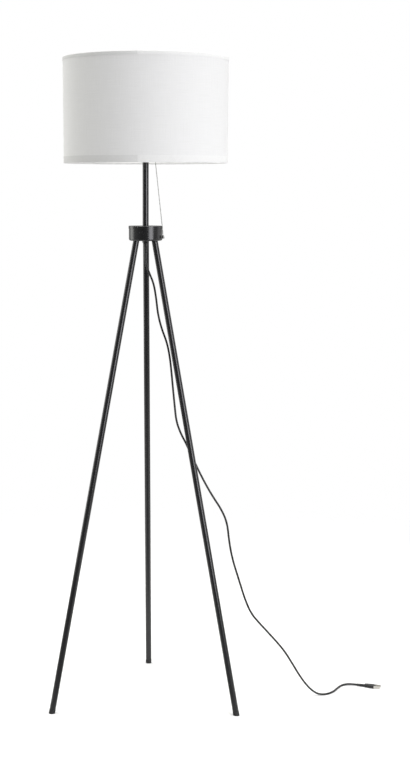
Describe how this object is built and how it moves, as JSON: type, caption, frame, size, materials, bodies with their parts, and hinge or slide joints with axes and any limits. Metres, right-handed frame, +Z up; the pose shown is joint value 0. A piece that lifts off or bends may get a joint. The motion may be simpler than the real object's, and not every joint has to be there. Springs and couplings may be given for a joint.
{
  "type": "tripod floor lamp",
  "caption": "Floor lamp: white fabric drum shade on a black steel stem, a short drum hub and splayed tubular legs, with a pull-chain switch and a mains cord with plug.",
  "frame": {"origin": "on the floor, at the middle of the lamp's footprint box (the mains cord left out); the stem's axis stands at x = 0.00412, y = -0.03486 m", "axes": "+Z up along the stem, -Y to the front, +X to the side that the cord and the pull chain are on"},
  "size_m": [0.8471, 0.4698, 1.592],
  "materials": {
    "satin_black_steel": "satin black powder coat",
    "black_rubber": "matt moulded",
    "zinc_plated_steel": "bright zinc plate",
    "black_hardware": "black oxide",
    "cast_aluminium": "as cast",
    "nickel_plate": "satin nickel plate",
    "white_wire": "white enamel",
    "socket_black": "satin black enamel",
    "fibre_liner": "vulcanised fibre",
    "phenolic": "moulded phenolic",
    "steatite": "pressed steatite",
    "brass": "stamped",
    "ball_chain": "nickel-plated ball chain",
    "gunmetal_plate": "dark satin plate",
    "opal_glass": "frosted",
    "bulb_plastic": "moulded",
    "bulb_cap_metal": "rolled thread",
    "shade_linen": "white fine-weave linen blend",
    "shade_backing": "white styrene sheet",
    "black_cord": "satin PVC"
  },
  "bodies": {
    "frame": {"leg_left": "satin_black_steel", "leg_right": "satin_black_steel", "leg_rear": "satin_black_steel", "hub_body": "satin_black_steel", "hub_lid": "satin_black_steel", "stem_tube": "satin_black_steel", "foot_left": "black_rubber", "foot_right": "black_rubber", "foot_rear": "black_rubber", "leg_inserts": "zinc_plated_steel", "leg_bolts": "zinc_plated_steel", "leg_washers": "zinc_plated_steel", "switch_spindle": "zinc_plated_steel", "return_spring": "zinc_plated_steel", "pipe_nuts": "black_hardware", "hub_washer": "black_hardware", "hub_pipe": "black_hardware", "stem_pipe": "black_hardware", "stem_bushes": "black_hardware", "leg_block": "cast_aluminium", "harp": "nickel_plate", "harp_saddle": "nickel_plate", "harp_ferrules": "nickel_plate", "finial": "nickel_plate", "plug_blades": "nickel_plate", "top_frame": "white_wire", "bottom_hoop": "white_wire", "socket_cap": "socket_black", "socket_shell": "socket_black", "chain_guide": "socket_black", "socket_liner": "fibre_liner", "switch_body": "phenolic", "contact_disc": "steatite", "screw_shell": "brass", "centre_contact": "brass", "terminal_screws": "brass", "contact_blades": "brass", "bulb_globe": "opal_glass", "bulb_collar": "bulb_plastic", "bulb_cap": "bulb_cap_metal", "bulb_tip": "bulb_cap_metal", "shade_fabric": "shade_linen", "trim_top": "shade_linen", "trim_bottom": "shade_linen", "shade_liner": "shade_backing", "power_cord": "black_cord", "inner_lead": "black_cord", "cord_relief": "black_cord", "plug_relief": "black_cord", "plug_body": "black_cord"},
    "chain": {"pull_chain": "ball_chain", "chain_stop": "ball_chain", "chain_pull": "gunmetal_plate"},
    "lever": {"switch_lever": "brass", "drive_pawl": "brass"},
    "rotor": {"switch_rotor": "phenolic"}
  },
  "joints": [
    {"name": "pull_chain_slide", "type": "slide", "parent": "frame", "child": "chain", "axis": [0.1071, -0.0433, -0.9933], "range_m": [0, 0.008], "stiffness_N_per_m": 400, "springref_m": -0.004, "deforming": ["return_spring"]},
    {"name": "lever_pivot", "type": "hinge", "parent": "frame", "child": "lever", "pos_m": [0.00968, -0.03711, 1.385], "axis": [0.3746, 0.9272, 0], "range_deg": [0, 31]},
    {"name": "rotor_turn", "type": "hinge", "parent": "frame", "child": "rotor", "pos_m": [0.00968, -0.03711, 1.385], "axis": [0.3746, 0.9272, 0], "continuous": true}
  ],
  "couplings": [
    {"joint": "lever_pivot", "follows": "pull_chain_slide", "rad_per_m": 67.6}
  ]
}
